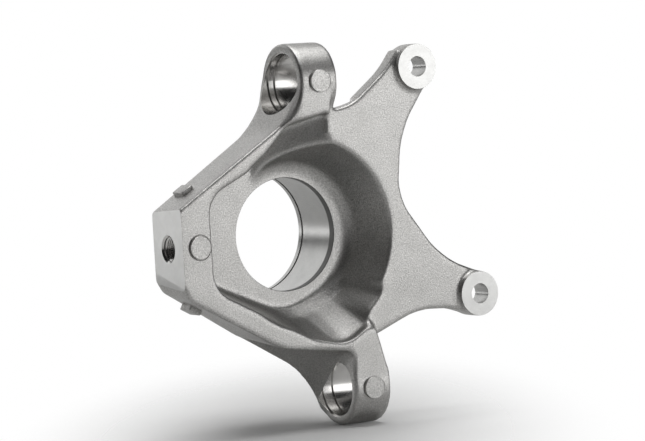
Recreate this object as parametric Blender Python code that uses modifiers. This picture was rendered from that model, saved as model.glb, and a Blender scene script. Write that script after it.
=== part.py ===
# Cast aluminium steering knuckle for an independent front suspension, machined after casting.
# X runs along the two joint bores, Y along the wheel bearing towards the wheel, Z is up.
# The origin is the centre of the bearing bore at the face of its inner lip.

import math

import bmesh
import bpy
from mathutils import Vector

mm = 0.001

# Wheel bearing bore and its housing
lip_radius = 38.0 * mm
lip_depth = 4.0 * mm
seat_radius = 42.0 * mm
housing_wall = 9.5 * mm
housing_end = 54.0 * mm
housing_draft = 2.0 * mm
rear_chamfer = 1.2 * mm
ring_groove_from_end = 5.0 * mm
ring_groove_width = 2.0 * mm
ring_groove_depth = 1.6 * mm

# Bowl that clears the drive-shaft joint
bowl_floor_radius = 40.0 * mm
bowl_fillet = 12.0 * mm
bowl_mouth_radius = 63.5 * mm
bowl_wall = 7.0 * mm
bowl_slant = math.radians(25.8)

# Frame that carries the joint bosses and the steering pad
frame_front = -33.0 * mm
frame_back = 7.0 * mm
joint_plane = -13.0 * mm

# Joint bosses, one above and one below the bore
boss_radius = 26.0 * mm
boss_length = 28.0 * mm
upper_x = -3.9 * mm
upper_z = 101.2 * mm
lower_x = 24.8 * mm
lower_z = -104.8 * mm
joint_seat_radius = 19.5 * mm
spot_radius = 20.6 * mm
spot_depth = 1.4 * mm
clip_groove_width = 1.5 * mm
clip_groove_depth = 1.2 * mm
upper_clip_from_end = 5.0 * mm
lower_clip_from_end = 8.0 * mm

# Roots and necks that run the arms into the bosses
root_length = 36.0 * mm
root_depth = 9.0 * mm
neck_ramp = 28.0 * mm
neck_step = 0.7 * mm
upper_neck_foot = (17.0 * mm, 79.8 * mm)
upper_neck_tip = (-12.0 * mm, 60.0 * mm)
lower_neck_foot = (40.2 * mm, -56.0 * mm)
lower_neck_tip = (-12.0 * mm, -50.0 * mm)
seam = 0.4 * mm

# Steering-arm pad and its blind hole
pad_x = -96.0 * mm
pad_top = 23.5 * mm
pad_bottom = -26.0 * mm
pad_draft = 4.0 * mm
pad_hole_z = -1.9 * mm
pad_hole_radius = 8.0 * mm
pad_hole_depth = 18.0 * mm
pad_hole_chamfer = 1.2 * mm
drill_point = math.tan(math.radians(31))

# Outline of the frame, corners as (x, z), at the front and where the draft moves them at the back
upper_foot = 82.6 * mm
upper_front_blend = 38.0 * mm
upper_back_blend = 64.0 * mm
lower_foot = -80.5 * mm
lower_foot_back = -103.5 * mm
lower_front_blend = 5.0 * mm
lower_back_blend = 58.0 * mm
pad_corner = (-92.5 * mm, -36.0 * mm)
pad_corner_back = (-92.5 * mm, -31.0 * mm)
pad_corner_blend = 6.0 * mm
lower_knee = (-27.0 * mm, -73.0 * mm)
lower_knee_back = (-40.0 * mm, -64.5 * mm)
lower_knee_blend = 50.0 * mm
spine_top = (21.6 * mm, 60.0 * mm)
spine_foot = (42.0 * mm, -50.0 * mm)
lower_waist = (46.5 * mm, -77.0 * mm)
lower_shoulder = -95.0 * mm
waist_blend = 15.0 * mm

# Caliper plate and its two ears
plate_thickness = 13.0 * mm
ear_radius = 15.5 * mm
ear_face = -37.0 * mm
ear_back = -21.0 * mm
ear_hole_radius = 6.9 * mm
upper_ear = (88.7 * mm, 107.2 * mm)
lower_ear = (129.9 * mm, -50.1 * mm)
ear_shoulder = 1.8 * mm
plate_inside = 10.0 * mm
plate_root = 79.0 * mm
plate_crest = (39.0 * mm, 85.0 * mm)
plate_crest_blend = 30.0 * mm
plate_brow = (66.0 * mm, 106.0 * mm)
plate_brow_blend = 50.0 * mm
plate_neck = (76.0 * mm, 64.0 * mm)
plate_neck_blend = 60.0 * mm
plate_waist = (71.0 * mm, 20.0 * mm)
plate_waist_blend = 34.0 * mm
plate_hip = (103.0 * mm, -23.0 * mm)
plate_hip_blend = 60.0 * mm
plate_belly = (108.0 * mm, -58.5 * mm)
plate_belly_blend = 40.0 * mm
plate_fork = (82.0 * mm, -57.0 * mm)
plate_fork_blend = 50.0 * mm
plate_heel = (45.0 * mm, -71.5 * mm)

# Pocket that lightens the frame beside the bowl: (x, z) at the mouth, at the knee and on the floor
pocket_knee = -8.0 * mm
web_slope = 0.735
web_edge = 20.0 * mm
pocket_corners = [
    # mouth, knee, floor, blend
    ((-74.5, 30.0), (-70.0, 27.3), (-68.5, 26.4), 18),
    ((-40.0, 46.5), (-40.0, 42.0), (-40.0, 40.5), 30),
    ((-12.0, 74.0), (-12.0, 69.5), (-12.0, 68.0), 20),
    ((17.0, 80.5), (17.0, 77.8), (17.0, 76.9), 3),
    ((17.0, 66.0), (17.0, 66.0), (17.0, 66.0), 4),
    ((46.0, 40.0), (46.0, 40.0), (46.0, 40.0), 0),
    ((52.0, -29.0), (36.0, -22.0), (30.0, -20.0), 0),
    ((54.5, -42.0), (42.0, -33.0), (30.0, -26.0), 7),
    ((42.5, -54.0), (36.0, -40.0), (28.0, -31.0), 9),
    ((38.5, -63.0), (29.0, -45.5), (22.0, -38.0), 5),
    ((22.0, -73.5), (15.0, -53.0), (11.0, -45.5), 18),
    ((-2.0, -69.0), (-6.0, -58.0), (-8.0, -51.5), 26),
    ((-74.0, -30.5), (-69.5, -27.0), (-68.0, -25.5), 18),
]

# Stubs of the casting gates on the flanks of the frame, centres as (x, z)
gate_length = 9.0 * mm
gate_height = 2.4 * mm
gate_front = -14.5 * mm
gate_back = -1.0 * mm
upper_gate = (-79.4 * mm, 34.4 * mm)
lower_gate = (-79.0 * mm, -42.6 * mm)
upper_gate_tilt = math.radians(32.3)
lower_gate_tilt = math.radians(-29.5)

# Ejector discs on the front
disc_radius = 7.5 * mm
disc_height = 1.0 * mm
pad_disc = (-83.4 * mm, -1.4 * mm)

# Cast skin and machining allowance
voxel = 1.3 * mm
skin_passes = 17
stock = 1.5 * mm
skin_share = 0.052
arc_steps = 8
fine_steps = 60
bore_steps = 44
hole_steps = 28


def collection(name, hidden):
    made = bpy.data.collections.new(name)
    bpy.context.scene.collection.children.link(made)
    made.hide_render = hidden
    return made


def add_object(name, mesh, home):
    made = bpy.data.objects.new(name, mesh)
    home.objects.link(made)
    if home is not knuckle_home:
        made.hide_render = True
        made.display_type = "WIRE"
    return made


def rounded(corners):
    """Turns (x, z, radius) corners into an outline whose corners are arcs."""
    outline = []
    count = len(corners)
    for index, (x, z, radius) in enumerate(corners):
        here = Vector((x, z))
        if radius == 0:
            outline.append(here)
            continue
        to_last = (Vector(corners[index - 1][:2]) - here).normalized()
        to_next = (Vector(corners[(index + 1) % count][:2]) - here).normalized()
        half = to_last.angle(to_next) / 2
        reach = radius / math.tan(half)
        centre = here + (to_last + to_next).normalized() * radius / math.sin(half)
        start = here + to_last * reach - centre
        swing = math.pi - 2 * half
        if to_last.cross(to_next) > 0:
            swing = -swing
        for step in range(arc_steps + 1):
            turn = swing * step / arc_steps
            c, s = math.cos(turn), math.sin(turn)
            outline.append(centre + Vector((c * start.x - s * start.y, s * start.x + c * start.y)))
    return outline


def loft(name, sections, home):
    """Closes a solid through (y, outline) sections whose outlines have as many points each."""
    count = len(sections[0][1])
    shape = bmesh.new()
    rings = [[shape.verts.new((p.x, y, p.y)) for p in outline] for y, outline in sections]
    for near, far in zip(rings, rings[1:]):
        for k in range(count):
            after = (k + 1) % count
            shape.faces.new((near[k], near[after], far[after], far[k]))
    shape.faces.new(rings[0])
    shape.faces.new(rings[-1])
    return solid(name, shape, home)


def solid(name, shape, home):
    """Turns the faces of a closed bmesh outwards and makes it an object."""
    shape.normal_update()
    bmesh.ops.recalc_face_normals(shape, faces=shape.faces)
    mesh = bpy.data.meshes.new(name)
    shape.to_mesh(mesh)
    shape.free()
    return add_object(name, mesh, home)


def turned(name, profile, centre, axis, home, steps=fine_steps):
    """Turns a (radius, along) profile about an axis through centre with a Screw modifier."""
    ends = [(0, profile[0][1])] + profile + [(0, profile[-1][1])]
    if axis == "X":
        points = [(along, radius, 0) for radius, along in ends]
    else:
        points = [(radius, along, 0) for radius, along in ends]
    mesh = bpy.data.meshes.new(name)
    mesh.from_pydata(points, [(k, k + 1) for k in range(len(points) - 1)], [])
    made = add_object(name, mesh, home)
    made.location = centre
    screw = made.modifiers.new("Screw", "SCREW")
    screw.axis = axis
    screw.steps = steps
    screw.render_steps = steps
    screw.use_merge_vertices = True
    screw.merge_threshold = 0.00001
    screw.use_normal_flip = profile[-1][1] > profile[0][1]
    return made


def cylinder(name, radius, low, high, centre, axis, home, steps=fine_steps):
    shape = bmesh.new()
    bmesh.ops.create_cone(shape, cap_ends=True, segments=steps, radius1=radius, radius2=radius, depth=1)
    for vert in shape.verts:
        along = high if vert.co.z > 0 else low
        if axis == "X":
            vert.co = (centre[0] + along, centre[1] + vert.co.x, centre[2] + vert.co.y)
        else:
            vert.co = (centre[0] + vert.co.x, centre[1] + along, centre[2] + vert.co.y)
    return solid(name, shape, home)


def block(name, low, high, home):
    shape = bmesh.new()
    bmesh.ops.create_cube(shape, size=1)
    for vert in shape.verts:
        vert.co = [high[k] if vert.co[k] > 0 else low[k] for k in range(3)]
    return solid(name, shape, home)


def slab(name, corners, low, high, home, along="Y"):
    """Extrudes a flat outline from low to high along an axis."""
    shape = bmesh.new()
    if along == "Y":
        ring = [shape.verts.new((p.x, low, p.y)) for p in rounded(corners)]
    else:
        ring = [shape.verts.new((p.x, p.y, low)) for p in rounded(corners)]
    side = bmesh.ops.extrude_face_region(shape, geom=[shape.faces.new(ring)])
    for item in side["geom"]:
        if isinstance(item, bmesh.types.BMVert):
            item.co[1 if along == "Y" else 2] = high
    return solid(name, shape, home)


def boolean(target, other, operation):
    made = target.modifiers.new(other.name, "BOOLEAN")
    made.operation = operation
    made.solver = "EXACT"
    made.object = other


def boolean_all(target, home, operation):
    """Joins or cuts with every object of a collection in one step."""
    made = target.modifiers.new(home.name, "BOOLEAN")
    made.operation = operation
    made.solver = "EXACT"
    made.operand_type = "COLLECTION"
    made.collection = home


for stale in list(bpy.data.objects):
    bpy.data.objects.remove(stale, do_unlink=True)

knuckle_home = collection("Steering knuckle", False)
form_home = collection("Cast forms", True)
core_home = collection("Mould cores", True)
disc_home = collection("Ejector discs", True)
cutter_home = collection("Cutters", True)

upper_end = upper_x + boss_length
lower_end = lower_x + boss_length
boss_front = joint_plane - boss_radius
neck_front = boss_front + neck_step
plate_back = frame_front + plate_thickness
past = 1.5 * boss_radius
far = 5 * boss_radius


def frame_outline(draft, upper_blend, knee, corner, foot, lower_blend):
    """Frame corners; its ends stay a seam inside the ends of the bosses."""
    return rounded([
        (pad_x - stock, pad_bottom + draft, 0),
        (pad_x - stock, pad_top - 0.6 * draft, 3 * mm),
        (upper_x + seam, upper_foot, upper_blend),
        (upper_x + seam, upper_z + past, 0),
        (upper_end - seam, upper_z + past, 0),
        (*spine_top, 0),
        (*spine_foot, 0),
        (*lower_waist, waist_blend),
        (lower_end - seam, lower_shoulder, waist_blend),
        (lower_end - seam, lower_z - past, 0),
        (lower_x + seam, lower_z - past, 0),
        (lower_x + seam, foot, lower_blend),
        (*knee, lower_knee_blend),
        (*corner, pad_corner_blend),
    ])


def frame_form(name, back, home):
    """Frame whose flanks are drafted towards the wheel, from its front to back."""
    front_outline = frame_outline(0, upper_front_blend, lower_knee, pad_corner, lower_foot, lower_front_blend)
    back_outline = frame_outline(pad_draft, upper_back_blend, lower_knee_back, pad_corner_back,
                                 lower_foot_back, lower_back_blend)
    return loft(name, [(frame_front, front_outline), (back, back_outline)], home)


def round_ends(frame):
    """Keeps the frame's two ends within the round of the joint bosses."""
    envelope = block("ends", (-far, frame_front - past, lower_z), (far, frame_back + past, upper_z), cutter_home)
    for name, z in (("upper round", upper_z), ("lower round", lower_z)):
        end = cylinder(name, boss_radius - seam, -far, far, (0, joint_plane, z), "X", cutter_home)
        boolean(envelope, end, "UNION")
    boolean(frame, envelope, "INTERSECT")


def boss_root(name, start, z):
    """Cone that thickens the back of the arm where it runs into a joint boss."""
    within = boss_radius - 2 * seam
    level = root_depth - joint_plane
    root = turned(name, [(level, start - root_length), (within, start + seam), (within, start + boss_length / 4)],
                  (0, joint_plane, z), "X", form_home)
    boolean(root, frame_form(name + " flank", frame_back + boss_radius / 2, cutter_home), "INTERSECT")
    return root


def neck(name, start, end, low, high, corners, inward):
    """Raised front of the arm at a boss, with a ramp on the pad's side."""
    sunk = frame_front + 3 * seam
    made = slab(name, [
        (start - neck_ramp, frame_front - seam / 2, 0),
        (start, neck_front, 0),
        (end + past, neck_front, 0),
        (end + past, sunk, 0),
        (start - neck_ramp, sunk, 0),
    ], low, high, form_home, "Z")
    moved = [(x + 2 * seam, z + 2 * seam * inward, blend) for x, z, blend in corners]
    boolean(made, slab(name + " outline", moved, boss_front - past, 0, cutter_home), "INTERSECT")
    return made


def gate_stub(name, centre, tilt):
    """Broken-off casting gate, a low block lying along a flank."""
    along = Vector((math.cos(tilt), math.sin(tilt))) * gate_length / 2
    across = Vector((-math.sin(tilt), math.cos(tilt))) * gate_height
    middle = Vector(centre)
    corners = [middle - along - across, middle + along - across, middle + along + across, middle - along + across]
    return slab(name, [(*corner, 0) for corner in corners], gate_front, gate_back, form_home)


def ear_edge(ear, degrees, out=0.0):
    turn = math.radians(degrees)
    reach = ear_radius + out
    return ear[0] + reach * math.cos(turn), ear[1] + reach * math.sin(turn)


def caliper_plate():
    return slab("plate", [
        (plate_inside, spine_top[1], 0),
        (plate_inside, plate_root, 0),
        (*plate_crest, plate_crest_blend),
        (*plate_brow, plate_brow_blend),
        (*ear_edge(upper_ear, 135, ear_shoulder), 0),
        (*ear_edge(upper_ear, -35), 0),
        (*plate_neck, plate_neck_blend),
        (*plate_waist, plate_waist_blend),
        (*plate_hip, plate_hip_blend),
        (*ear_edge(lower_ear, 79), 0),
        (*ear_edge(lower_ear, 266), 0),
        (*plate_belly, plate_belly_blend),
        (*plate_fork, plate_fork_blend),
        (*plate_heel, 0),
        (plate_inside, spine_foot[1], 0),
    ], frame_front, plate_back, form_home)


def cast_forms():
    frame = frame_form("frame", frame_back, knuckle_home)
    round_ends(frame)
    upper_outline = [
        (pad_x, pad_top, 0), (upper_x, upper_foot, upper_front_blend), (upper_x, upper_z + boss_radius, 0),
        (upper_end - 4 * seam, upper_z + boss_radius, 0), (*upper_neck_foot, 0), (*upper_neck_tip, 0)]
    lower_outline = [
        (*pad_corner, 0), (*lower_knee, lower_knee_blend), (lower_x, lower_foot, lower_front_blend),
        (lower_x, lower_z - boss_radius, 0), (lower_end - 4 * seam, lower_z - boss_radius, 0),
        (lower_end - 4 * seam, lower_shoulder, waist_blend), (*lower_waist, waist_blend),
        (*lower_neck_foot, 0), (*lower_neck_tip, 0)]
    cylinder("upper boss", boss_radius, 0, boss_length, (upper_x, joint_plane, upper_z), "X", form_home)
    cylinder("lower boss", boss_radius, 0, boss_length, (lower_x, joint_plane, lower_z), "X", form_home)
    turned("bowl shell", [
        (bowl_mouth_radius + bowl_wall, frame_front + seam),
        (bowl_mouth_radius + bowl_wall, plate_back + seam),
        (bowl_floor_radius + bowl_fillet + 1.5 * bowl_wall, frame_back - seam),
    ], (0, 0, 0), "Y", form_home)
    turned("bearing housing", [
        (seat_radius + housing_wall + housing_draft, -stock),
        (seat_radius + housing_wall, housing_end + stock),
    ], (0, 0, 0), "Y", form_home)
    caliper_plate()
    boss_root("upper root", upper_x, upper_z)
    boss_root("lower root", lower_x, lower_z)
    neck("upper neck", upper_x, upper_end, 0, upper_z, upper_outline, -1)
    neck("lower neck", lower_x, lower_end, lower_z, 0, lower_outline, 1)
    gate_stub("upper gate stub", upper_gate, upper_gate_tilt)
    gate_stub("lower gate stub", lower_gate, lower_gate_tilt)
    for name, ear in (("upper ear", upper_ear), ("lower ear", lower_ear)):
        cylinder(name, ear_radius, ear_face - stock, ear_back, (ear[0], 0, ear[1]), "Y", form_home, bore_steps)
    boolean_all(frame, form_home, "UNION")
    return frame


def pocket_outline(level):
    return rounded([(corner[level][0] * mm, corner[level][1] * mm, corner[3] * mm) for corner in pocket_corners])


def bowl_core():
    """Floor, fillet and cone of the bowl, as one turned shape."""
    profile = []
    for step in range(arc_steps + 1):
        turn = (math.pi / 2 - bowl_slant) * step / arc_steps
        profile.append((bowl_floor_radius + bowl_fillet * math.sin(turn), -bowl_fillet * (1 - math.cos(turn))))
    profile.append((bowl_mouth_radius, frame_front))
    rise = bowl_mouth_radius - bowl_floor_radius
    profile.append((bowl_mouth_radius + rise / 2, 1.5 * frame_front))
    turned("bowl", profile, (0, 0, 0), "Y", core_home)


def pocket_core():
    """Pocket beside the bowl, whose floor rises to the plate in a slanted web at the top."""
    mouth, knee, floor = (pocket_outline(level) for level in range(3))
    pocket = loft("pocket", [(frame_front - past, mouth), (frame_front, mouth), (pocket_knee, knee), (0, floor)],
                  core_home)
    start = web_edge + frame_front / web_slope
    reach = far
    web = slab("upper web", [
        (start, seam, 0),
        (start + reach, seam, 0),
        (start + reach, seam - reach * web_slope, 0),
    ], 0, upper_z, cutter_home, "Z")
    boolean(pocket, web, "DIFFERENCE")


def cast_skin(frame):
    """Rounds every cast edge and corner, as a mould does, then thins the mesh."""
    skin = frame.modifiers.new("Skin", "REMESH")
    skin.mode = "VOXEL"
    skin.voxel_size = voxel
    soft = frame.modifiers.new("Fillets", "SMOOTH")
    soft.factor = 0.5
    soft.iterations = skin_passes
    thin = frame.modifiers.new("Thin", "DECIMATE")
    thin.ratio = skin_share


def discs(frame):
    """Flat ejector discs on the bosses and beside the pad."""
    across = boss_length / 2
    for name, x, z, face in (
        ("upper disc", upper_x + across, upper_z, boss_front),
        ("lower disc", lower_x + across, lower_z, boss_front),
        ("pad disc", pad_disc[0], pad_disc[1], frame_front),
    ):
        disc = cylinder(name, disc_radius, face - disc_height, face + 2 * stock, (x, 0, z), "Y", disc_home, hole_steps)
        boolean(frame, disc, "UNION")


def joint_bore(frame, name, start, z, clip_from_end):
    """Seat for a pressed-in spherical joint, with a spot face and a clip groove near its -X end."""
    groove = start + clip_from_end
    end = start + boss_length
    clip = joint_seat_radius + clip_groove_depth
    bore = turned(name, [
        (spot_radius, start - 2 * boss_length),
        (spot_radius, start + spot_depth),
        (joint_seat_radius, start + spot_depth),
        (joint_seat_radius, groove),
        (clip, groove),
        (clip, groove + clip_groove_width),
        (joint_seat_radius, groove + clip_groove_width),
        (joint_seat_radius, end - rear_chamfer),
        (spot_radius, end + stock),
        (spot_radius, end + boss_length),
    ], (0, joint_plane, z), "X", cutter_home, bore_steps)
    boolean(frame, bore, "DIFFERENCE")


def bearing_bore(frame):
    groove = housing_end - ring_groove_from_end - ring_groove_width
    clip = seat_radius + ring_groove_depth
    mouth = seat_radius + rear_chamfer
    bore = turned("bearing bore", [
        (lip_radius, frame_front),
        (lip_radius, lip_depth),
        (seat_radius, lip_depth),
        (seat_radius, groove),
        (clip, groove),
        (clip, groove + ring_groove_width),
        (seat_radius, groove + ring_groove_width),
        (seat_radius, housing_end - rear_chamfer),
        (mouth, housing_end),
        (mouth, housing_end + past),
    ], (0, 0, 0), "Y", cutter_home)
    boolean(frame, bore, "DIFFERENCE")
    side = 2 * seat_radius
    behind = block("housing face", (-side, housing_end, -side), (side, housing_end + past, side), cutter_home)
    boolean(frame, behind, "DIFFERENCE")


def ears(frame):
    """Flat seat and clearance hole for each caliper bolt."""
    for name, ear in (("upper ear", upper_ear), ("lower ear", lower_ear)):
        centre = (ear[0], 0, ear[1])
        seat = cylinder(name + " seat", ear_radius + 2 * stock, ear_face - past, ear_face, centre, "Y",
                        cutter_home, hole_steps)
        boolean(frame, seat, "DIFFERENCE")
        hole = cylinder(name + " hole", ear_hole_radius, ear_face - past, 0, centre, "Y", cutter_home, hole_steps)
        boolean(frame, hole, "DIFFERENCE")


def steering_pad(frame):
    """Flat face with a blind hole for the steering arm's tie-rod end."""
    face = block("pad face", (pad_x - past, -far, -2 * past), (pad_x, far, 2 * past), cutter_home)
    boolean(frame, face, "DIFFERENCE")
    mouth = pad_hole_radius + pad_hole_chamfer
    hole = turned("pad hole", [
        (mouth, -pad_hole_depth),
        (mouth, 0),
        (pad_hole_radius, pad_hole_chamfer),
        (pad_hole_radius, pad_hole_depth),
        (seam / 2, pad_hole_depth + pad_hole_radius * drill_point),
    ], (pad_x, joint_plane, pad_hole_z), "X", cutter_home, hole_steps)
    boolean(frame, hole, "DIFFERENCE")


def aluminium():
    made = bpy.data.materials.new("Cast aluminium")
    made.use_nodes = True
    shader = made.node_tree.nodes["Principled BSDF"]
    shader.inputs["Base Color"].default_value = (0.62, 0.62, 0.61, 1)
    shader.inputs["Metallic"].default_value = 0.8
    shader.inputs["Roughness"].default_value = 0.5
    return made


knuckle = cast_forms()
knuckle.name = "knuckle"
pocket_core()
bowl_core()
boolean_all(knuckle, core_home, "DIFFERENCE")
cast_skin(knuckle)
discs(knuckle)
ears(knuckle)
steering_pad(knuckle)
bearing_bore(knuckle)
joint_bore(knuckle, "upper joint bore", upper_x, upper_z, upper_clip_from_end)
joint_bore(knuckle, "lower joint bore", lower_x, lower_z, lower_clip_from_end)
knuckle.data.materials.append(aluminium())
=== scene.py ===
# %% [markdown]
# # A cast steering knuckle
# A steering knuckle carries the wheel bearing and turns with the front wheel. It is one aluminium casting,
# shot-blasted all over, in which a machine shop then cuts the faces and bores that other parts seat on.
# So this lesson builds the sharp form first, rounds it as a mould does, and machines it last.
# X runs along the two joint bores, Y along the wheel bearing towards the wheel, and Z is up.

import math

import bpy
from mathutils import Matrix, Vector


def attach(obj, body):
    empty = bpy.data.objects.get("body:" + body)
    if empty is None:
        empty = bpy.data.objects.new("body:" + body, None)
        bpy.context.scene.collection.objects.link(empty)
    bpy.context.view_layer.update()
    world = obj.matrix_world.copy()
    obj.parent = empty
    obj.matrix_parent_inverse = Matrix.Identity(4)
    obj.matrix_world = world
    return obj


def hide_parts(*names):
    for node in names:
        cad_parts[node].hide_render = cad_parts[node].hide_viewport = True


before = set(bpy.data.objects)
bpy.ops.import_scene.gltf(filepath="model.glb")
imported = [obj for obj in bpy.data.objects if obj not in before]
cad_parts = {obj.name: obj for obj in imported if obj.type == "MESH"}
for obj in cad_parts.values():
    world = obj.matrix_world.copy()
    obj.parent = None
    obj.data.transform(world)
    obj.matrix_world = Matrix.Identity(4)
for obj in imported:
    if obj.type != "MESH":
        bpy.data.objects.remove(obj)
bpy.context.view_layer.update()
mm = 0.001

# %% [markdown]
# ## Clean hands
# An operator acts on all that is selected, so each step starts by deselecting everything. These two helpers
# do what a click in the viewport would do.

# %% Selecting objects
def start_fresh():
    if bpy.context.mode != "OBJECT":
        bpy.ops.object.mode_set(mode="OBJECT")
    bpy.ops.object.select_all(action="DESELECT")


def pick(made):
    start_fresh()
    made.select_set(True)
    bpy.context.view_layer.objects.active = made


start_fresh()
print("selected", len(bpy.context.selected_objects), "objects")

# %% [markdown]
# ## Sizes
# The same sizes as the CAD part, in metres, so that the look lies exactly on it. The bearing seat, the joint
# seats and the bolt holes set the scale, and the casting's walls follow from them.

# %% Sizes of the casting
frame_front, frame_back, plate_back = -33 * mm, 7 * mm, -20 * mm
joint_plane, boss_radius, boss_length = -13 * mm, 26 * mm, 28 * mm
upper_x, upper_z, lower_x, lower_z = -3.9 * mm, 101.2 * mm, 24.8 * mm, -104.8 * mm
pad_x, pad_hole_z = -96 * mm, -1.9 * mm
ear_radius, ear_face, ear_back = 15.5 * mm, -37 * mm, -21 * mm
upper_ear, lower_ear = (88.7 * mm, 107.2 * mm), (129.9 * mm, -50.1 * mm)
bowl_floor, bowl_fillet, bowl_mouth, bowl_wall = 40 * mm, 12 * mm, 63.5 * mm, 7 * mm
seat_radius, housing_radius, housing_end = 42 * mm, 51.5 * mm, 54 * mm
stock, seam = 1.5 * mm, 0.4 * mm
boss_front = joint_plane - boss_radius
print("boss fronts at", round(boss_front, 4), "ear faces at", round(ear_face, 4))

# %% [markdown]
# ## Outlines with rounded corners
# Most forms of a casting start as a flat drawing. A disc with as many vertices as the drawing has corners is
# laid through them, and a vertex bevel then rounds the corners that have a radius. This keeps a drawing as
# short as a draughtsman's: (x, z, radius) in millimetres, with 0 for a corner that stays sharp.

# %% Drawing an outline
corner_steps = 24


def select_near(made, place):
    """Selects the one vertex of a mesh in edit mode that lies nearest to a place."""
    bpy.ops.mesh.select_mode(type="VERT")
    bpy.ops.mesh.select_all(action="DESELECT")
    bpy.ops.object.mode_set(mode="OBJECT")
    nearest = min(made.data.vertices, key=lambda v: (v.co - place).length)
    nearest.select = True
    bpy.ops.object.mode_set(mode="EDIT")


def outline(name, level, corners, along="Y"):
    """Draws a flat face at a level along Y, or along Z with (x, y, radius) corners."""
    start_fresh()
    bpy.ops.mesh.primitive_circle_add(vertices=len(corners), radius=0.1, fill_type="NGON")
    made = bpy.context.object
    made.name = name
    if along == "Y":
        places = [Vector((x * mm, level, z * mm)) for x, z, radius in corners]
    else:
        places = [Vector((x * mm, y * mm, level)) for x, y, radius in corners]
    for vertex, place in zip(made.data.vertices, places):
        vertex.co = place
    bpy.ops.object.mode_set(mode="EDIT")
    for index, (here, corner) in enumerate(zip(places, corners)):
        radius = corner[2] * mm
        if not radius:
            continue
        last = (places[index - 1] - here).normalized()
        following = (places[(index + 1) % len(places)] - here).normalized()
        reach = radius / math.tan(last.angle(following) / 2)
        select_near(made, here)
        bpy.ops.mesh.bevel(offset_type="OFFSET", offset=reach, segments=corner_steps,
                           affect="VERTICES", clamp_overlap=False)
    bpy.ops.object.mode_set(mode="OBJECT")
    return made


print("a rounded corner gets", corner_steps, "steps")

# %% [markdown]
# ## Slabs and lofts
# A slab is an outline extruded straight. A loft bridges outlines of different shape, which gives the slanted
# flanks that let a casting leave its mould. Extruding and scaling one outline would slant every side alike.

# %% Extruding and bridging
def closed(made):
    """Turns a finished form's faces outwards and leaves edit mode."""
    bpy.ops.mesh.select_all(action="SELECT")
    bpy.ops.mesh.normals_make_consistent(inside=False)
    bpy.ops.object.mode_set(mode="OBJECT")
    return made


def slab(name, low, high, corners, along="Y"):
    """Extrudes an outline from low to high."""
    made = outline(name, low, corners, along)
    bpy.ops.object.mode_set(mode="EDIT")
    bpy.ops.mesh.select_all(action="SELECT")
    way = (0, high - low, 0) if along == "Y" else (0, 0, high - low)
    bpy.ops.mesh.extrude_region_move(TRANSFORM_OT_translate={"value": way})
    return closed(made)


def lofted(name, sections):
    """Bridges (y, corners) outlines that have as many corners each; the first and last stay as ends."""
    rings = []
    for index, (y, corners) in enumerate(sections):
        ring = outline(name, y, corners)
        if 0 < index < len(sections) - 1:
            bpy.ops.object.mode_set(mode="EDIT")
            bpy.ops.mesh.select_all(action="SELECT")
            bpy.ops.mesh.delete(type="ONLY_FACE")
            bpy.ops.object.mode_set(mode="OBJECT")
        rings.append(ring)
    pick(rings[0])
    for ring in rings[1:]:
        ring.select_set(True)
    bpy.ops.object.join()
    bpy.ops.object.mode_set(mode="EDIT")
    bpy.ops.mesh.select_all(action="SELECT")
    bpy.ops.mesh.bridge_edge_loops()
    return closed(rings[0])


print("forms by hand:", [tool.__name__ for tool in (outline, slab, lofted)])

# %% [markdown]
# ## The frame with its two arms
# The frame is the flat, forked body of the casting, from the steering pad on the left to the two joint
# bosses. Its back outline is fuller than its front one, so it is lofted. Each arm runs out under its boss,
# and is cut off round there with a shape made of a slab and two short cylinders.

# %% Front and back outlines, lofted
front = [(-97.5, -26, 0), (-97.5, 23.5, 3), (-3.5, 82.6, 38), (-3.5, 140.2, 0), (23.7, 140.2, 0),
         (21.6, 60, 0), (42, -50, 0), (46.5, -77, 15), (52.4, -95, 15), (52.4, -143.8, 0),
         (25.2, -143.8, 0), (25.2, -80.5, 5), (-27, -73, 50), (-92.5, -36, 6)]
back = [(-97.5, -22, 0), (-97.5, 21.1, 3), (-3.5, 82.6, 64), (-3.5, 140.2, 0), (23.7, 140.2, 0),
        (21.6, 60, 0), (42, -50, 0), (46.5, -77, 15), (52.4, -95, 15), (52.4, -143.8, 0),
        (25.2, -143.8, 0), (25.2, -103.5, 58), (-40, -64.5, 50), (-92.5, -31, 6)]
casting = lofted("knuckle_casting", [(frame_front, front), (frame_back, back)])
print("frame", len(casting.data.vertices), "vertices")

# %% Turning and combining
def turned(name, centre, axis, stations, steps=96):
    """Extrudes a disc from station to station, each a (radius, along) pair, and scales it at each."""
    start_fresh()
    turn = (0, math.pi / 2, 0) if axis == "X" else (-math.pi / 2, 0, 0)
    way = Vector((1, 0, 0)) if axis == "X" else Vector((0, 1, 0))
    radius, along = stations[0]
    bpy.ops.mesh.primitive_circle_add(vertices=steps, radius=radius, fill_type="NGON",
                                      location=Vector(centre) + way * along, rotation=turn)
    made = bpy.context.object
    made.name = name
    bpy.ops.object.transform_apply(location=True, rotation=True, scale=True)
    bpy.ops.object.mode_set(mode="EDIT")
    bpy.ops.mesh.select_mode(type="FACE")
    bpy.ops.mesh.select_all(action="SELECT")
    for next_radius, next_along in stations[1:]:
        step = way * (next_along - along)
        bpy.ops.mesh.extrude_region_move(TRANSFORM_OT_translate={"value": step})
        share = next_radius / radius
        size = (1, share, share) if axis == "X" else (share, 1, share)
        if share != 1:
            bpy.ops.transform.resize(value=size, center_override=Vector(centre) + way * next_along)
        radius, along = next_radius, next_along
    return closed(made)


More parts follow.
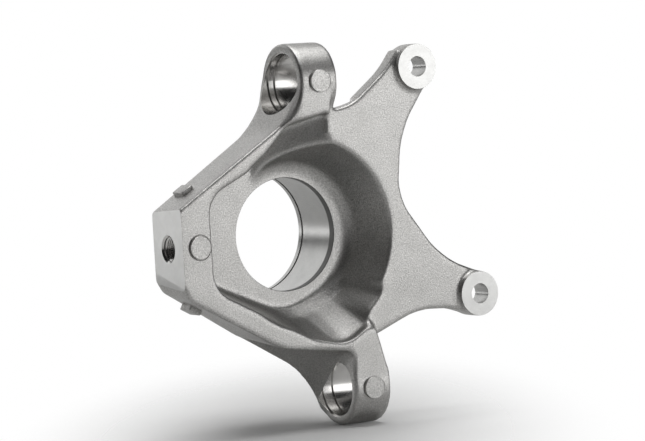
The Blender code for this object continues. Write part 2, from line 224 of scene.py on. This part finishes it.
def combine(target, others, operation, transfer=False):
    """Joins or cuts with exact Booleans, applies them, and removes the tools."""
    for other in others:
        made = target.modifiers.new("Boolean", "BOOLEAN")
        made.operation = operation
        made.solver = "EXACT"
        made.object = other
        if transfer:
            made.material_mode = "TRANSFER"
        pick(target)
        bpy.ops.object.modifier_apply(modifier=made.name)
    for other in others:
        bpy.data.objects.remove(other, do_unlink=True)
    return target


wide, overhang = 200, 20 * mm
end_corners = [(-wide, lower_z / mm, 0), (wide, lower_z / mm, 0),
               (wide, upper_z / mm, 0), (-wide, upper_z / mm, 0)]
ends = slab("ends", frame_front - overhang, frame_back + overhang, end_corners)
end_round = [(boss_radius - seam, -wide * mm), (boss_radius - seam, wide * mm)]
combine(ends, [turned("round", (0, joint_plane, z), "X", end_round) for z in (upper_z, lower_z)],
        "UNION")
combine(casting, [ends], "INTERSECT")
print("frame with round ends", len(casting.data.vertices), "vertices")

# %% [markdown]
# ## Roots
# Where an arm runs into its boss, its back swells to the boss's full thickness. A cone along the bore does
# that, kept inside the arm's own flanks by an intersection with the frame's loft, drawn on a little further.

# %% Roots of the two bosses
def root(name, start, z):
    """Cone that thickens the back of an arm where it runs into its boss."""
    within = boss_radius - 2 * seam
    cone = turned(name, (start, joint_plane, z), "X",
                  [(24 * mm, -40 * mm), (within, seam), (within, 7 * mm)])
    flank = lofted("flank", [(frame_front, front), (frame_back + 13 * mm, back)])
    return combine(cone, [flank], "INTERSECT")


details = [root("upper_root", upper_x, upper_z), root("lower_root", lower_x, lower_z)]
print("roots", [made.name for made in details])

# %% [markdown]
# ## Necks
# The bosses stand further forward than the frame, so each arm's front is raised to meet them. A neck is a
# slab with a ramp on the pad's side, cut to the arm's outline, and a bisect lets it fade out to the bowl.

# %% Raised necks
def neck(name, start, low, high, corners, fade_z, way):
    """Raised front of an arm at its boss, with a ramp that begins before the boss's start."""
    top, foot, sunk = (boss_front + 0.7 * mm) / mm, -33.2, -31.8
    ramp_length, length = 28, 70
    side = [(start - ramp_length, foot, 0), (start, top, 0), (start + length, top, 0),
            (start + length, sunk, 0), (start - ramp_length, sunk, 0)]
    made = slab(name, low, high, side, "Z")
    combine(made, [slab("neck_outline", boss_front - 39 * mm, 0, corners)], "INTERSECT")
    pick(made)
    bpy.ops.object.mode_set(mode="EDIT")
    bpy.ops.mesh.select_all(action="SELECT")
    bpy.ops.mesh.bisect(plane_co=(0, frame_front, fade_z * mm), plane_no=(0, -10, 5.5 * way),
                        use_fill=True, clear_outer=True)
    return closed(made)


upper_neck = [(-95.2, 22.7, 0), (-3.1, 81.8, 38), (-3.1, 126.4, 0), (23.3, 126.4, 0),
              (17.8, 79, 0), (-11.2, 59.2, 0)]
lower_neck = [(-91.7, -35.2, 0), (-26.2, -72.2, 50), (25.6, -79.7, 5), (25.6, -130, 0), (52, -130, 0),
              (52, -94.2, 15), (47.3, -76.2, 15), (41, -55.2, 0), (-11.2, -49.2, 0)]
details += [neck("upper_neck", upper_x / mm, 0, upper_z, upper_neck, 72, -1),
            neck("lower_neck", lower_x / mm, lower_z, 0, lower_neck, -60, 1)]
print("details", [made.name for made in details])

# %% [markdown]
# ## Bosses, bowl, housing, plate and ears
# The rest of the outside is simple forms: two cylinders for the joint bosses, a turned shell round the bowl,
# the bearing's housing, and a plate that carries the caliper on two ears. They are joined while they are
# still sharp-edged, because one skin over all of them then rounds each meeting line like a mould's fillet.
# Faces that are machined later get some stock.

# %% Joining the outside
plate = [(10, 60, 0), (10, 79, 0), (39, 85, 30), (66, 106, 50), (76.5, 119.5, 0), (100.7, 98.7, 0),
         (76, 64, 60), (71, 20, 34), (103, -23, 60), (132.9, -34.9, 0), (128.9, -65.4, 0),
         (108, -58.5, 40), (82, -57, 50), (45, -71.5, 0), (10, -50, 0)]
boss = [(boss_radius, 0), (boss_radius, boss_length)]
shell_radius = bowl_mouth + bowl_wall
forms = [
    turned("upper_boss", (upper_x, joint_plane, upper_z), "X", boss),
    turned("lower_boss", (lower_x, joint_plane, lower_z), "X", boss),
    turned("bowl_shell", (0, 0, 0), "Y", [(shell_radius, frame_front + seam),
                                         (shell_radius, plate_back + seam),
                                         (62.5 * mm, frame_back - seam)]),
    turned("housing", (0, 0, 0), "Y", [(53.5 * mm, -stock), (housing_radius, housing_end + stock)]),
    slab("plate", frame_front, plate_back, plate),
]
for name, (x, z) in (("upper_ear", upper_ear), ("lower_ear", lower_ear)):
    forms.append(turned(name, (x, 0, z), "Y", [(ear_radius, ear_face - stock), (ear_radius, ear_back)]))
combine(casting, forms + details, "UNION")
print("joined form", len(casting.data.vertices), "vertices")

# %% [markdown]
# ## The pocket
# The frame is hollowed from the front to save weight. Its walls lean in towards the floor and turn at a
# knee, so the cutter is a loft through three outlines, with the first one repeated in front of the casting.
# At the top the floor rises to the plate in a slanted web: a wedge is taken off the cutter there.

# %% Pocket cutter
mouth = [(-74.5, 30, 18), (-40, 46.5, 30), (-12, 74, 20), (17, 80.5, 3), (17, 66, 4), (46, 40, 0),
         (52, -29, 0), (54.5, -42, 9), (42.5, -54, 12), (38.5, -63, 8), (22, -73.5, 20), (-2, -69, 26),
         (-74, -30.5, 18)]
knee = [(-70, 27.3, 18), (-40, 42, 30), (-12, 69.5, 20), (17, 77.8, 3), (17, 66, 4), (46, 40, 0),
        (38, -22, 0), (42, -33, 12), (33.5, -42.5, 14), (28.5, -46.5, 14), (15, -53, 24), (-6, -58, 30),
        (-69.5, -27, 18)]
base = [(-68.5, 26.4, 18), (-40, 40.5, 30), (-12, 68, 20), (17, 76.9, 3), (17, 66, 4), (46, 40, 0),
        (32, -18, 0), (35, -27, 12), (27.5, -35, 14), (23, -38.5, 14), (11.5, -44.5, 24), (-8, -51.5, 30),
        (-68, -25.5, 18)]
pocket = lofted("pocket", [(frame_front - 30 * mm, mouth), (frame_front, mouth), (-8 * mm, knee), (0, base)])
web = slab("web", 0, 101 * mm, [(-24.9, 0.4, 0), (105.1, 0.4, 0), (105.1, -95.15, 0)], "Z")
combine(pocket, [web], "DIFFERENCE")
print("pocket", len(pocket.data.vertices), "vertices")

# %% [markdown]
# ## The bowl
# Round the bearing the pocket widens to a bowl for the drive shaft's joint. It is a turned cutter: a cone
# with a rounded foot, worked out as an arc that ends where it meets the cone's slope. A shallow cast dish
# clears the boring tool in front of the lower joint bore.

# %% Bowl and dish cutters
cone_slope, fillet_steps = math.radians(25.8), 16
stations = [(1 * mm, 0)]
for step in range(fillet_steps + 1):
    angle = (math.pi / 2 - cone_slope) * step / fillet_steps
    stations.append((bowl_floor + bowl_fillet * math.sin(angle), -bowl_fillet * (1 - math.cos(angle))))
stations += [(bowl_mouth, frame_front), (bowl_mouth + 11.75 * mm, 1.5 * frame_front)]
bowl = turned("bowl", (0, 0, 0), "Y", stations)
dish = turned("dish", (lower_x, joint_plane, lower_z), "X",
              [(15 * mm, -40 * mm), (19 * mm, -30 * mm), (21.4 * mm, -6 * mm), (21.4 * mm, seam)])
combine(casting, [pocket, bowl, dish], "DIFFERENCE")
print("cut form", len(casting.data.vertices), "vertices")

# %% [markdown]
# ## Cast skin
# Molten metal leaves no sharp edge. Bevelling every edge by hand would take long and break where many forms
# meet, so a voxel remesh lays one even skin over the form, and smoothing passes round it to a radius of
# about 3 mm. A finer voxel needs more passes for the same radius.

# %% Remesh, smooth, decimate
def finish_modifier(made, kind, **settings):
    added = made.modifiers.new(kind, kind)
    for key, value in settings.items():
        setattr(added, key, value)
    pick(made)
    bpy.ops.object.modifier_apply(modifier=added.name)


most_triangles = 150000
voxel = 0.75 * mm
finish_modifier(casting, "REMESH", mode="VOXEL", voxel_size=voxel)
passes = round(18 * (1.3 * mm / voxel) ** 2)
finish_modifier(casting, "SMOOTH", factor=0.5, iterations=passes)
share = most_triangles / sum(len(p.vertices) - 2 for p in casting.data.polygons)
if share < 1:
    finish_modifier(casting, "DECIMATE", ratio=share)
print("skin", len(casting.data.polygons), "faces after", passes, "passes")

# %% [markdown]
# ## Shot-blasted skin
# Blasting leaves aluminium matt, pale and grainy: tiny dents everywhere, and peaks that are brighter and
# smoother because they are worn. Noise and Voronoi patterns in object coordinates give colour, roughness and
# bump together, so that a peak is light, smooth and high at the same place.

# %% Node helpers
def node(tree, kind, **settings):
    made = tree.nodes.new(kind)
    for key, value in settings.items():
        if key in made.inputs:
            made.inputs[key].default_value = value
        else:
            setattr(made, key, value)
    return made


def ramp(tree, source, low, high, dark, light):
    made = tree.nodes.new("ShaderNodeValToRGB")
    made.color_ramp.elements[0].position = low
    made.color_ramp.elements[1].position = high
    made.color_ramp.elements[0].color = (*dark, 1)
    made.color_ramp.elements[1].color = (*light, 1)
    tree.links.new(source, made.inputs["Fac"])
    return made.outputs["Color"]


def multiplied(tree, first, second):
    """Multiplies two colours; a Mix node has its colours at inputs 6 and 7, and its result at output 2."""
    made = node(tree, "ShaderNodeMix", data_type="RGBA", blend_type="MULTIPLY")
    made.inputs["Factor"].default_value = 1
    tree.links.new(first, made.inputs[6])
    tree.links.new(second, made.inputs[7])
    return made.outputs[2]


def new_material(name):
    made = bpy.data.materials.new(name)
    made.use_nodes = True
    tree = made.node_tree
    place = tree.nodes.new("ShaderNodeTexCoord").outputs["Object"]
    return made, tree, tree.nodes["Principled BSDF"], place


print("node helpers:", [tool.__name__ for tool in (node, ramp, multiplied, new_material)])

# %% Cast skin material
def cast_material():
    made, tree, shader, place = new_material("blasted_casting")
    grain = node(tree, "ShaderNodeTexNoise", Scale=1150, Detail=3, Roughness=0.75)
    dents = node(tree, "ShaderNodeTexVoronoi", Scale=900)
    patch = node(tree, "ShaderNodeTexNoise", Scale=60, Detail=5, Roughness=0.6)
    for texture in (grain, dents, patch):
        tree.links.new(place, texture.inputs["Vector"])
    fine = ramp(tree, grain.outputs["Fac"], 0.32, 0.68, (0.5, 0.5, 0.5), (1, 1, 1))
    broad = ramp(tree, patch.outputs["Fac"], 0.3, 0.7, (0.59, 0.583, 0.568), (0.67, 0.662, 0.646))
    tree.links.new(multiplied(tree, fine, broad), shader.inputs["Base Color"])
    dull = ramp(tree, grain.outputs["Fac"], 0.3, 0.7, (0.5, 0.5, 0.5), (0.37, 0.37, 0.37))
    tree.links.new(dull, shader.inputs["Roughness"])
    shader.inputs["Metallic"].default_value = 1
    first = node(tree, "ShaderNodeBump", Strength=0.6, Distance=0.12 * mm)
    tree.links.new(grain.outputs["Fac"], first.inputs["Height"])
    second = node(tree, "ShaderNodeBump", Strength=0.5, Distance=0.12 * mm)
    tree.links.new(dents.outputs["Distance"], second.inputs["Height"])
    tree.links.new(first.outputs["Normal"], second.inputs["Normal"])
    tree.links.new(second.outputs["Normal"], shader.inputs["Normal"])
    return made


skin = cast_material()
casting.data.materials.append(skin)
print("casting wears", skin.name)

# %% [markdown]
# ## Machined metal
# A boring or milling tool leaves fine parallel marks. A wave pattern along the tool's feed gives them, and
# one function makes all four finishes: smooth bores along X and along Y, milled faces, and the lip of the
# bearing bore, which is turned roughly because nothing seats on it and is coloured much darker than the seat.

# %% Machined materials
def machined_material(name, direction, colour, rough):
    """Metal with one tool mark to each step along direction."""
    made, tree, shader, place = new_material(name)
    marks = node(tree, "ShaderNodeTexWave", wave_type="BANDS", bands_direction=direction,
                 Scale=700, Distortion=0.6, Detail=2)
    blotch = node(tree, "ShaderNodeTexNoise", Scale=120, Detail=4)
    for texture in (marks, blotch):
        tree.links.new(place, texture.inputs["Vector"])
    tone = ramp(tree, blotch.outputs["Fac"], 0.3, 0.7, [c * 0.9 for c in colour], colour)
    tree.links.new(tone, shader.inputs["Base Color"])
    dull = ramp(tree, marks.outputs["Fac"], 0, 1, (rough * 0.8,) * 3, (rough * 1.2,) * 3)
    tree.links.new(dull, shader.inputs["Roughness"])
    shader.inputs["Metallic"].default_value = 1
    bump = node(tree, "ShaderNodeBump", Strength=0.25, Distance=0.03 * mm)
    tree.links.new(marks.outputs["Fac"], bump.inputs["Height"])
    tree.links.new(bump.outputs["Normal"], shader.inputs["Normal"])
    return made


bore_along_x = machined_material("bored_along_x", "X", (0.66, 0.65, 0.635), 0.2)
bore_along_y = machined_material("bored_along_y", "Y", (0.52, 0.52, 0.51), 0.30)
# The lip's metal is given a colour much darker than the seat's.
dark_rough_turned = machined_material("dark_rough_turned", "Y", (0.16, 0.16, 0.155), 0.5)
faced = machined_material("faced", "DIAGONAL", (0.64, 0.64, 0.63), 0.38)
print("machined", [made.name for made in (bore_along_x, bore_along_y, dark_rough_turned, faced)])

# %% [markdown]
# ## Ejector discs and gate stubs
# Pins push the casting out of its mould and leave round pads, each in a shallow ring, and the broken-off
# gates leave small blocks on the flanks. They are crisper than the rest, so they are added after the skin.

# %% Marks of the mould
def gate_stub(name, x, z, tilt):
    """Low block on a flank, tilted as the flank is."""
    half_length, half_height = 4.5, 2.4
    turn = Matrix.Rotation(math.radians(tilt), 2)
    sides = [(-half_length, -half_height), (half_length, -half_height),
             (half_length, half_height), (-half_length, half_height)]
    corners = [Vector((x, z)) + turn @ Vector(side) for side in sides]
    made = slab(name, -14.5 * mm, -1 * mm, [(*corner, 0) for corner in corners])
    made.data.materials.append(skin)
    finish_modifier(made, "BEVEL", width=0.7 * mm, segments=3)
    return made


disc = [(7.2 * mm, -1.3 * mm), (7.5 * mm, -1 * mm), (7.5 * mm, 4 * mm)]
ring = [(8.6 * mm, -3 * mm), (8.6 * mm, 0.3 * mm), (8.1 * mm, 0.6 * mm)]
marks, rings = [], []
for name, x, z, face in (("upper_disc", upper_x + boss_length / 2, upper_z, boss_front),
                         ("lower_disc", lower_x + boss_length / 2, lower_z, boss_front),
                         ("pad_disc", -83.4 * mm, -1.4 * mm, frame_front)):
    marks.append(turned(name, (x, face, z), "Y", disc, 64))
    rings.append(turned(name + "_ring", (x, face, z), "Y", ring, 96))
for made in marks + rings:
    made.data.materials.append(skin)
marks += [gate_stub("upper_gate", -79.4, 34.4, 32.3), gate_stub("lower_gate", -79, -42.6, -29.5)]
names = [made.name for made in marks]
combine(casting, rings, "DIFFERENCE", transfer=True)
combine(casting, marks, "UNION", transfer=True)
print("marks", names)

# %% [markdown]
# ## Cutters for the bearing bore and the joint bores
# A machine shop's cuts have exact radii, so each is one turned cutter, which ends past the face it opens
# through and never in its plane, where a Boolean could fail. The bearing seat has a groove for its snap ring
# and a chamfer, and each joint bore has a spot face, a clip groove and a chamfer.

# %% Bearing bore
lip = turned("lip", (0, 0, 0), "Y", [(38.3 * mm, -20 * mm), (38.3 * mm, 0.1 * mm), (38 * mm, 0.4 * mm),
                                    (38 * mm, 7 * mm)], 160)
groove_radius, groove_start, groove_end, chamfer_radius = 43.6 * mm, 47 * mm, 49 * mm, 43.4 * mm
bearing = turned("bearing", (0, 0, 0), "Y", [
    (seat_radius, 5.5 * mm), (seat_radius, groove_start), (groove_radius, groove_start),
    (groove_radius, groove_end), (seat_radius, groove_end), (seat_radius, 52.8 * mm),
    (chamfer_radius, housing_end + 0.2 * mm), (chamfer_radius, 70 * mm)], 160)
behind = turned("behind", (0, 0, 0), "Y", [(84 * mm, housing_end), (84 * mm, housing_end + 20 * mm)])
cutters = [(behind, faced), (lip, dark_rough_turned), (bearing, bore_along_y)]
print("bearing bore", [cutter.name for cutter, material in cutters])

# %% Joint bores
def joint_bore(name, start, z, clip_from_end, reach):
    """Bore through a boss, with a spot face that begins at reach in front of it."""
    groove, end = start + clip_from_end, start + boss_length
    seat, spot, clip = 19.5 * mm, 20.6 * mm, 20.7 * mm
    spot_end, clip_width = start + 1.4 * mm, 1.5 * mm
    return turned(name, (0, joint_plane, z), "X", [
        (spot, start - reach), (spot, spot_end), (seat, spot_end), (seat, groove), (clip, groove),
        (clip, groove + clip_width), (seat, groove + clip_width), (seat, end - 1.2 * mm),
        (spot, end + 1 * mm), (spot, end + 20 * mm)], 128)


bores = [(joint_bore("upper_bore", upper_x, upper_z, 5 * mm, 40 * mm), bore_along_x),
         (joint_bore("lower_bore", lower_x, lower_z, 8 * mm, 4 * mm), bore_along_x)]
print("joint bores", [cutter.name for cutter, material in bores])

# %% [markdown]
# ## Cutters for the steering pad and the ears
# The steering arm bolts to a milled pad with a blind, threaded hole. Turned rings stand for the thread,
# because a true helix would not be told from them at this size. Each ear gets a face and a through hole.

# %% Pad and ears
pad_face = turned("pad_face", (pad_x, 0, 0), "X", [(90 * mm, -20 * mm), (90 * mm, 0)])
thread_root, thread_crest, thread_start, thread_step = 8 * mm, 7.1 * mm, 2.2, 0.75
threads = [(thread_crest if step % 2 else thread_root, (thread_start + thread_step * step) * mm)
           for step in range(19)]
pad_hole = turned("pad_hole", (pad_x, joint_plane, pad_hole_z), "X", [
    (9.4 * mm, -10 * mm), (9.4 * mm, -0.2 * mm), (thread_root, 1.2 * mm), *threads,
    (thread_root, 18 * mm), (0.2 * mm, 22.8 * mm)], 64)
cutters.insert(1, (pad_face, faced))
cutters += [(pad_hole, bore_along_x)] + bores
face_radius, bolt_radius = 18.5 * mm, 6.9 * mm
for name, (x, z) in (("upper", upper_ear), ("lower", lower_ear)):
    seat = turned(name + "_seat", (x, 0, z), "Y",
                  [(face_radius, ear_face - 20 * mm), (face_radius, ear_face)])
    hole = turned(name + "_hole", (x, 0, z), "Y", [(bolt_radius, -60 * mm), (bolt_radius, 10 * mm)], 64)
    cutters += [(seat, faced), (hole, bore_along_y)]
print("cutters in order", [cutter.name for cutter, material in cutters])

# %% [markdown]
# ## Machining
# Each cutter carries the finish that its tool leaves. The Boolean hands the cutter's material on to the faces
# it cuts, so the finishes end exactly at the edges. Shading by angle then keeps those edges crisp.

# %% Cutting
for cutter, material in cutters:
    cutter.data.materials.append(material)
combine(casting, [cutter for cutter, material in cutters], "DIFFERENCE", transfer=True)
pick(casting)
bpy.ops.object.shade_smooth_by_angle(angle=math.radians(32))
print("finished casting", len(casting.data.polygons), "faces,", len(casting.data.materials), "materials")

# %% [markdown]
# ## Floor
# The part stands on pale paper, and only the shadow round its foot is seen: the paper fades into the white
# background. An Alpha that falls with the distance from the shadow does that. It acts on camera rays only,
# so that the whole paper still catches the light. The shadow is wider than deep in the picture, so the
# distance is measured across and along the view, each with its own reach.

# %% Paper
start_fresh()
floor_z = min(v.co.z for v in casting.data.vertices)
bpy.ops.mesh.primitive_plane_add(size=30, location=(0, 0, floor_z))
floor = bpy.context.object
floor.name = "floor"
paper, paper_tree, paper_shader, paper_place = new_material("floor_paper")
paper_shader.inputs["Base Color"].default_value = (0.78, 0.78, 0.775, 1)
paper_shader.inputs["Roughness"].default_value = 0.9
paper_shader.inputs["Specular IOR Level"].default_value = 0.1
floor.data.materials.append(paper)
print("floor at", round(floor_z, 4))

# %% Fading the paper
def calculated(operation, first, second):
    made = node(paper_tree, "ShaderNodeMath", operation=operation)
    for socket, value in zip(made.inputs, (first, second)):
        if isinstance(value, (int, float)):
            socket.default_value = value
        else:
            paper_tree.links.new(value, socket)
    return made.outputs[0]


def squared_share(way, reach):
    """Square of the distance from the shadow's middle along a flat way, as a share of its reach."""
    moved = node(paper_tree, "ShaderNodeVectorMath", operation="SUBTRACT")
    moved.inputs[1].default_value = (0, -0.01, 0)
    paper_tree.links.new(paper_place, moved.inputs[0])
    made = node(paper_tree, "ShaderNodeVectorMath", operation="DOT_PRODUCT")
    made.inputs[1].default_value = (way[0] / reach, way[1] / reach, 0)
    paper_tree.links.new(moved.outputs[0], made.inputs[0])
    return calculated("POWER", made.outputs["Value"], 2)


across, deep = squared_share((0.852, -0.521), 0.21), squared_share((0.519, 0.853), 0.52)
fade = node(paper_tree, "ShaderNodeMapRange", interpolation_type="SMOOTHSTEP")
for key, value in (("From Min", 0.05), ("From Max", 1), ("To Min", 1), ("To Max", 0)):
    fade.inputs[key].default_value = value
paper_tree.links.new(calculated("POWER", calculated("ADD", across, deep), 0.5), fade.inputs["Value"])
rays = node(paper_tree, "ShaderNodeLightPath")
seen_else = calculated("SUBTRACT", 1, rays.outputs["Is Camera Ray"])
alpha = calculated("MAXIMUM", fade.outputs["Result"], seen_else)
paper_tree.links.new(alpha, paper_shader.inputs["Alpha"])
print("paper has", len(paper_tree.nodes), "nodes")

# %% [markdown]
# ## Background
# The world is white for camera rays. For the light itself it is nearly dark, because bare metal that mirrors
# an evenly white room looks flat and chalky. The softboxes then draw its forms.

# %% White world
scene = bpy.context.scene
scene.view_settings.view_transform = "Standard"
world = bpy.data.worlds.new("studio")
scene.world = world
world.use_nodes = True
tree = world.node_tree
tree.nodes.clear()
out = node(tree, "ShaderNodeOutputWorld")
seen = node(tree, "ShaderNodeBackground", Color=(1, 1, 1, 1), Strength=1)
lit = node(tree, "ShaderNodeBackground", Color=(1, 1, 1, 1), Strength=0.015)
rays = node(tree, "ShaderNodeLightPath")
mixed = node(tree, "ShaderNodeMixShader")
tree.links.new(rays.outputs["Is Camera Ray"], mixed.inputs[0])
tree.links.new(lit.outputs[0], mixed.inputs[1])
tree.links.new(seen.outputs[0], mixed.inputs[2])
tree.links.new(mixed.outputs[0], out.inputs[0])
print("world", world.name, "has", len(tree.nodes), "nodes")

# %% [markdown]
# ## Lamps
# Metal shows its lamps, so each is placed where a face mirrors it: one to the right of the camera for the
# front faces, a wide one behind that stands for the white backdrop, a low strip beside it for the pad and
# the bores, and one above that draws the rounded edges. A softbox is given the brightness that a mirror
# would show of it, where 1 is white, and its power follows from its area.

# %% Softboxes
def softbox(name, place, target, size, brightness):
    data = bpy.data.lights.new(name, "AREA")
    data.shape = "RECTANGLE"
    data.size, data.size_y = size
    data.energy = brightness * math.pi * size[0] * size[1]
    made = bpy.data.objects.new(name, data)
    scene.collection.objects.link(made)
    made.location = place
    made.rotation_euler = (Vector(target) - Vector(place)).to_track_quat("-Z", "Y").to_euler()
    made.visible_camera = False


softbox("right_softbox", (0.9, -1.4, -0.02), (0, 0, 0), (2.2, 1.1), 2.25)
softbox("backdrop_softbox", (-0.2, 1.9, 1.1), (0, 0, 0.1), (3.4, 1.3), 1.0)
softbox("backdrop_strip", (-0.9, 1.6, -0.02), (0, 0, 0), (1.6, 0.2), 1.9)
softbox("top_softbox", (0.2, -0.05, 1.4), (0, 0, 0), (1.3, 1.1), 3.2)

# %% [markdown]
# ## Camera
# A long lens keeps near and far sides nearly the same size, as in a catalogue. The camera stands to the left
# of the front and looks slightly down. Its place and directions come from a fit of the part's known sizes.

# %% Camera from the fit
focal_pixels, picture_width = 2600, 645
data = bpy.data.cameras.new("camera")
data.sensor_width = 36
data.lens = focal_pixels * data.sensor_width / picture_width
camera = bpy.data.objects.new("camera", data)
scene.collection.objects.link(camera)
right = Vector((0.85154, -0.52112, -0.05748))
up = Vector((0.07668, 0.01535, 0.99694))
back_way = Vector((-0.51864, -0.85335, 0.05303))
turn = Matrix((right, up, back_way)).transposed().to_4x4()
camera.matrix_world = Matrix.Translation((-0.8816, -1.4993, 0.1002)) @ turn
scene.camera = camera
print("camera at", tuple(round(c, 3) for c in camera.location))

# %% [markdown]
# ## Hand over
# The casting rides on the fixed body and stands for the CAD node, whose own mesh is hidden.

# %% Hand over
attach(casting, "root")
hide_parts("knuckle")
